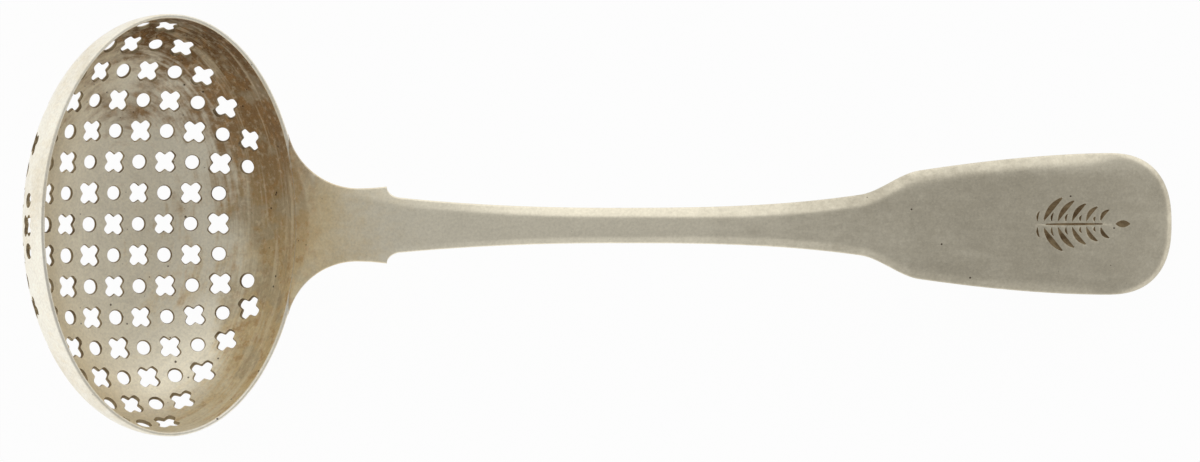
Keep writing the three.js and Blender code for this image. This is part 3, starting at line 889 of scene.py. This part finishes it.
def handle_ring(place):
    """One section of the handle, from its far edge over the front and back along the underside."""
    half = half_width(place)
    face = face_height(place)
    deep = handle_thickness(place)
    fullness = between(stem_back_fullness, fiddle_back_fullness, flatness(place))
    ring = []
    for step in range(front_facets + 1):
        aside = half * cos(step / front_facets * pi)
        top = face - front_drop(place, aside)
        cove = cove_height(place, aside)
        top = cove - soft_rise(cove - top, lip_softness)
        ring.append((place, aside, max(top, 0)))
    root = 1 - soft_step(place, lip_place, neck_place)
    edge_drop = min(front_drop(place, half), front_drop(place, -half)) - edge_rounding
    edge_drop += between(edge_height, wing_edge_height, root)
    for step in range(back_facets + 1):
        aside = -half * cos(step / back_facets * pi)
        near = min(edge_distance(place, aside)[1], 1)
        down = edge_drop + (deep - edge_drop) * (1 - near**fullness) ** (1 / fullness)
        lowest_cove = cove_height(place, aside) - edge_height / 2
        ring.append((place, aside, max(min(face - down, lowest_cove), 0)))
    return np.array(ring)


def skin_of(rings):
    """A closed skin over rings of equally many points, with a fan over each end."""
    around = len(rings[0])
    points = np.concatenate([*rings, [rings[0].mean(0), rings[-1].mean(0)]])
    sides = [
        [(ring * around + side, ring * around + (side + 1) % around) for side in range(around)]
        for ring in range(len(rings))
    ]
    faces = [
        (here, after, after + around, here + around) for ring in sides[:-1] for here, after in ring
    ]
    middle = len(rings) * around
    faces += [(middle, after, here) for here, after in sides[0]]
    faces += [(middle + 1, here, after) for here, after in sides[-1]]
    return points, faces


def steps_between(start, end, count):
    """Even steps from the start on, without the end."""
    return np.linspace(start, end, count, endpoint=False)


def handle_places():
    """Where the sections stand, closer together where the outline turns."""
    quarter = pi / 2
    return np.concatenate(
        [
            neck_place - flare_radius * np.sin(steps_between(wing_turn, 0, 90)),
            steps_between(neck_place, shoulder_place, 22),
            shoulder_place + notch_length * (1 - np.cos(steps_between(0, quarter, 9))),
            steps_between(stem_place, waist_place, 84),
            steps_between(waist_place, fiddle_place, 94),
            steps_between(fiddle_place, fiddle_side_place, 46),
            steps_between(fiddle_side_place, fiddle_end_place, 80),
            fiddle_end_place + fiddle_end_length * np.sin(steps_between(0, quarter, 34)),
        ]
    )


rings = [handle_ring(place) + [rim_x, 0, 0] for place in handle_places()]
forging = mesh_object("forging", *skin_of(rings))

# The heel is the tongue of the forging that runs down the back of the bowl and carries it. It is
# thickest at the rim and thins out to a rounded tip.
heel_width = 10.4 * mm
heel_length = 11.2 * mm
heel_thickness = 2.3 * mm
heel_tip_thickness = 0.28 * mm
heel_tip_roundness = 0.985  # 0 ends the heel square and 1 in a point
heel_rings = 60
heel_facets = 36


def heel_skin():
    length = wall_length(np.array([0.0]), bowl_wall)[0]
    shares = np.linspace(0, 1, heel_rings)
    middle = lay_on_wall(np.zeros(heel_rings), length - heel_length * shares, bowl_wall)
    outward = outward_of_wall(middle, bowl_wall)
    rings = []
    for share, place, out in zip(shares, middle, outward):
        half = heel_width / 2 * sqrt(1 - heel_tip_roundness * share**3)
        deep = between(heel_thickness, heel_tip_thickness, share)
        section = [(-half, -bowl_wall), (half, -bowl_wall)]
        for turn in np.linspace(0, pi, heel_facets + 1):
            section.append((half * cos(turn), deep * sin(turn)))
        ring = np.array([place + out * height for _, height in section])
        ring[:, 1] = [aside for aside, _ in section]
        rings.append(leaned(ring))
    return skin_of(rings)


# Hard silver solder fills the joint between the bowl's back, the heel and the root, and is filed
# flush, so that it shows as a thin line of a slightly different colour.
solder_gap = 0.02 * mm
solder_thickness = 0.22 * mm
seat_around = 240
seat_down = 90
seat_first = 4  # step of the meridian at which the seat begins, just off the bottom of the bowl


def seat(offset):
    """All inside the bowl's outer face and below its rim, grown by an offset."""
    directions = steps_between(0, 2 * pi, seat_around)
    out, down = meridian(directions, bowl_wall + offset)
    steps = np.unique(np.linspace(seat_first, meridian_steps, seat_down).astype(int))
    rings = [points_round(directions, out[:, step], -down[:, step]) for step in steps]
    rings.append(rings[-1] + [0, 0, offset])
    return mesh_object("seat", *skin_of([leaned(ring) for ring in rings]))


def joined(piece, other, operation):
    """The piece cut by, joined to or kept inside another solid, which is used up."""
    cut = piece.modifiers.new(operation, "BOOLEAN")
    cut.operation = operation
    cut.object = other
    cut.solver = "MANIFOLD"
    mesh = finished_mesh(piece)
    mesh.materials.clear()
    piece.modifiers.remove(cut)
    piece.data = mesh
    bpy.data.objects.remove(other)


joined(forging, mesh_object("heel", *heel_skin()), "UNION")
solder = set_out("solder", forging.data.copy())
joined(solder, seat(solder_gap + solder_thickness), "INTERSECT")
joined(solder, seat(solder_gap), "DIFFERENCE")
joined(forging, seat(solder_gap + solder_thickness), "DIFFERENCE")

# A small sprig is cut into the front of the broad end with a graver: a stem with pairs of leaves
# and tendrils, and a bud. Each is one push of the tool, deepest in its middle and tarnished since.
sprig_start = 55.8 * mm
sprig_length = 14 * mm
sprig_half_width = 5 * mm
stem_cut = (10.6 * mm, 0.34 * mm, 0.1 * mm)  # length, width and depth
leaf_cut = (4.3 * mm, 0.78 * mm, 0.16 * mm)
tendril_cut = (1.5 * mm, 0.3 * mm, 0.1 * mm)
bud_cut = (2.0 * mm, 0.95 * mm, 0.17 * mm)
bud_gap = 0.2 * mm
leaf_pairs = 5
first_leaf = 1.2 * mm
leaf_step = 1.9 * mm
leaf_aside = 0.3 * mm
tendril_back = 0.75 * mm  # from the foot of its leaf
shorter, narrower = 0.13, 0.08  # each pair than the last, as shares of the first
leaf_spread = radians(50)
tendril_spread = radians(78)
leaf_bend = 0.34 * mm
cut_fullness = 0.8
cut_sections = 15
cut_ends = 0.03  # share of its width and depth that a cut has at its ends
above_cut = 0.05 * mm  # the cutting solids stand this much out of the front
tarnished_depth = (0.012 * mm, 0.3 * mm)  # the faces of the cuts lie this far below the front


def graver_cut(start, heading, size, bend=0.0):
    """A solid of three-cornered sections that follows the front of the handle from a start."""
    length, width, depth = size
    along = np.array([cos(heading), sin(heading)])
    aside = np.array([-along[1], along[0]])
    rings = []
    for share in np.linspace(0, 1, cut_sections):
        swell = max(sin(pi * share) ** cut_fullness, cut_ends)
        middle = start + along * length * share + aside * bend * 4 * share * (1 - share)
        half = width / 2 * (swell + above_cut / depth)
        corners = ((half, above_cut), (-half, above_cut), (0, -depth * swell))
        ring = []
        for across, height in corners:
            x, y = middle + aside * across
            ring.append((x, y, face_height(x - rim_x) + height))
        rings.append(np.array(ring))
    return skin_of(rings)


bud_start = sprig_start + stem_cut[0] + bud_gap
cuts = [graver_cut((sprig_start, 0), 0, stem_cut), graver_cut((bud_start, 0), 0, bud_cut)]
for pair in range(leaf_pairs):
    less = 1 - shorter * pair
    leaf = (leaf_cut[0] * less, leaf_cut[1] * (1 - narrower * pair), leaf_cut[2])
    tendril = (tendril_cut[0] * less, *tendril_cut[1:])
    x = sprig_start + first_leaf + leaf_step * pair
    for side in (-1, 1):
        y, bend = side * leaf_aside, side * leaf_bend
        cuts.append(graver_cut((x, y), side * leaf_spread, leaf, bend))
        cuts.append(graver_cut((x - tendril_back, y), side * tendril_spread, tendril, bend / 2))
points, faces = [], []
for cut_points, cut_faces in cuts:
    faces.extend(tuple(corner + len(points) for corner in face) for face in cut_faces)
    points.extend(cut_points)
joined(forging, mesh_object("graver_cuts", points, faces), "DIFFERENCE")

# The handle is kept bright by the hand that holds it. Tarnish is left in the cove beside the bowl
# and thinly on the root. The grey on the broad end is painted shade, and it is lighter along the
# far edge as a painted highlight.
lip_x = rim_x + lip_place
lip_curve = 0.03 / mm  # the lip bends away from the bowl towards its ends


def handle_stain_and_painted_shade(tree, place):
    """The tarnish of the bowl runs on up the cove to the lip, painted shade greys the broad end,
    and the rest is almost clean.
    """
    x, y, _ = join_nodes(tree, "ShaderNodeSeparateXYZ", {0: place})
    past_lip = ("ADD", x, ("MULTIPLY", ("MULTIPLY", y, y), lip_curve))
    cove = ramp(tree, past_lip, lip_x - 1.3 * mm, lip_x + 0.5 * mm, 0.75, 0.0)
    root = ramp(tree, x, lip_x, lip_x + 16 * mm, 0.55, 0.0)
    # Painted shade on the broad end, weaker along its far edge, where that is a painted highlight.
    broad_end_painted_shade = ramp(tree, x, lip_x + 30 * mm, lip_x + 90 * mm, 0.0, 0.7)
    far_edge_painted_highlight = ramp(tree, y, 5.5 * mm, 8 * mm, 1.0, 0.4)
    film_and_painted_shade = ("MULTIPLY", mottle(tree, place, 30 * mm, 2.0), 0.2)
    film_and_painted_shade = ("ADD", film_and_painted_shade, ("MULTIPLY", broad_end_painted_shade, far_edge_painted_highlight))
    return reckon(tree, "ADD", ("MAXIMUM", cove, root), film_and_painted_shade)


def handle_tarnish_and_painted_shade(tree, place):
    """Brown in the cove, straw-coloured on the root, and grey on the broad end as painted shade."""
    x = join_nodes(tree, "ShaderNodeSeparateXYZ", {0: place})[0]
    near_lip = ramp(tree, x, lip_x - 2 * mm, lip_x + 2 * mm)
    root = blend_colours(tree, near_lip, tarnish_inside(tree, place), straw_tarnish)
    # The grey towards the broad end is painted shade.
    return blend_colours(tree, ramp(tree, x, lip_x + 12 * mm, lip_x + 45 * mm), root, grey_film_and_painted_shade)


handle_wear_and_painted_shade = {"stain": handle_tarnish_and_painted_shade, "stained_at": handle_stain_and_painted_shade, "patchy": 0.6}
forging.data.materials.append(
    old_silver(
        "silver_handle_painted_shade", clean_silver, dullness=0.34, pits=0.16, streaked=0.06, **handle_wear_and_painted_shade
    )
)
cut_clean, cut_stain = colour(150, 132, 102), colour(96, 76, 52)
forging.data.materials.append(
    old_silver(
        "silver_engraved", cut_clean, cut_stain, stained_lightly, dullness=0.5, patch=2 * mm
    )
)
for face in forging.data.polygons:
    x, y, z = face.center
    if sprig_start < x < sprig_start + sprig_length and abs(y) < sprig_half_width:
        depth = face_height(x - rim_x) - front_drop(x - rim_x, y) - z
        face.material_index = 1 if tarnished_depth[0] < depth < tarnished_depth[1] else 0
solder.data.materials.append(
    old_silver("silver_solder_line", colour(236, 227, 204), dullness=0.38, **handle_wear_and_painted_shade)
)
handle = made_plain(forging, "handle_forged")
seam = made_plain(solder, "solder_line")
silver_parts = ((handle, "handle", "handle_silver"), (seam, "solder_seam", "silver_solder"))
for piece, node, slot in silver_parts:
    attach(piece, "root")
    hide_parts(node)

# The ladle lies on a table of white card under a white tent. The tent is brightest on the far side
# and pale all round near the table, and less bright overhead, where the camera looks in.
table_half = 1.5
card_white = 0.96  # as the camera and the silver see the card
tent_light = 0.37  # the least, which the sides add to
far_light = 0.62
near_light = 0.2
low_light = 0.5
white = (1, 1, 1, 1)
corners = ((-1, -1), (1, -1), (1, 1), (-1, 1))
table_mesh = mesh_object(
    "table", [(x * table_half, y * table_half, 0) for x, y in corners], [(0, 1, 2, 3)]
)
card = bpy.data.materials.new("white_card")
tree = cleared_tree(card)
matt = join_nodes(tree, "ShaderNodeBsdfDiffuse", {"Color": (0.9, 0.9, 0.9, 1)})[0]
lit = join_nodes(tree, "ShaderNodeEmission", {"Color": white, "Strength": 1.0})[0]
ray = join_nodes(tree, "ShaderNodeLightPath")
seen = ("MULTIPLY", ("MAXIMUM", ray["Is Camera Ray"], ray["Is Glossy Ray"]), card_white)
mixed = join_nodes(tree, "ShaderNodeMixShader", {0: seen, 1: matt, 2: lit})[0]
join_nodes(tree, "ShaderNodeOutputMaterial", {0: mixed})
table_mesh.data.materials.append(card)

tent = bpy.data.worlds.new("white_tent")
bpy.context.scene.world = tent
tree = cleared_tree(tent)
around = join_nodes(tree, "ShaderNodeTexCoord")["Generated"]
way = join_nodes(tree, "ShaderNodeSeparateXYZ", {0: around})
far_side = ramp(tree, way[1], 0.2, 0.8, 0.0, far_light)
near_side = ramp(tree, way[1], -0.2, -0.8, 0.0, near_light)
along = ramp(tree, way[0], -0.3, 0.75, 0.05, 0.03)
low_down = ramp(tree, way[2], 0.05, 0.5, low_light, 0.0)
sides = ("MAXIMUM", ("ADD", far_side, near_side), low_down)
cloth = ("ADD", ("ADD", tent_light, along), sides)
cloth_light = join_nodes(tree, "ShaderNodeBackground", {0: white, 1: cloth})[0]
plain_white = join_nodes(tree, "ShaderNodeBackground", {0: white, 1: 1.0})[0]
seen = join_nodes(tree, "ShaderNodeLightPath")["Is Camera Ray"]
mixed = join_nodes(tree, "ShaderNodeMixShader", {0: seen, 1: cloth_light, 2: plain_white})[0]
join_nodes(tree, "ShaderNodeOutputWorld", {0: mixed})

# The camera looks almost straight down on the ladle, from more than a metre above it. Its lens is
# long, so that the bowl and the handle show almost in plan.
camera_distance = 1.19
lean_along = radians(-0.575)
lean_across = radians(0.77)
view_width = 0.156
view_middle = (-0.12 * mm, -0.98 * mm)
camera_data = bpy.data.cameras.new("camera")
camera_data.lens = camera_data.sensor_width * camera_distance / view_width
camera = set_out("camera", camera_data)
back = Vector(
    (
        sin(lean_along) * cos(lean_across),
        sin(lean_across),
        cos(lean_along) * cos(lean_across),
    )
)
right = Vector((cos(lean_along), 0, -sin(lean_along)))
up = back.cross(right)
camera.matrix_world = Matrix((right, up, back)).transposed().to_4x4()
camera.location = right * view_middle[0] + up * view_middle[1] + back * camera_distance
bpy.context.scene.camera = camera
bpy.context.scene.view_settings.view_transform = "Standard"
